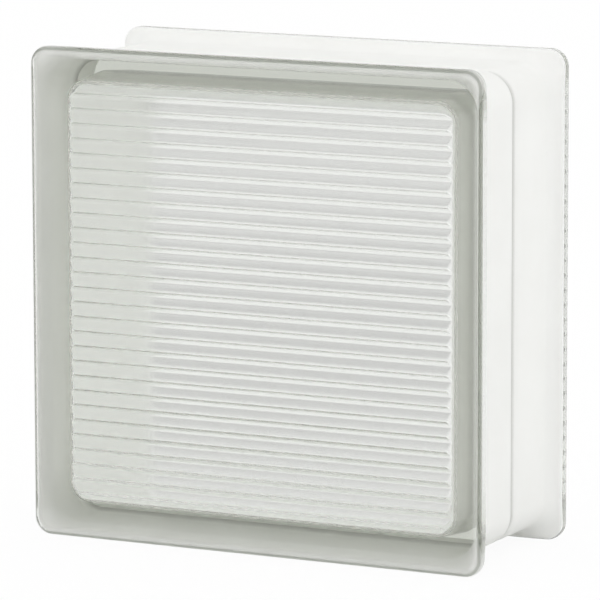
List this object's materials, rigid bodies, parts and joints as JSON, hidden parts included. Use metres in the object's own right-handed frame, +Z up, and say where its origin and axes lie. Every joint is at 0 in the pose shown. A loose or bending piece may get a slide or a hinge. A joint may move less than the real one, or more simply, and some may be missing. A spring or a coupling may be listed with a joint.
{
  "type": "glass block",
  "caption": "Square hollow glass block with horizontal ribs inside, clear rims and white-coated mortar channels round its edges.",
  "frame": {"origin": "middle of the edge that the block stands on, at floor level", "axes": "+Z up, -Y out of the front face, +X to the right as seen from the front"},
  "size_m": [0.19, 0.08, 0.19],
  "materials": {
    "clear_glass": "gloss",
    "white_coating": "matt"
  },
  "bodies": {
    "root": {"front_half": "clear_glass", "rear_half": "clear_glass", "edge_coating": "white_coating"}
  },
  "joints": []
}
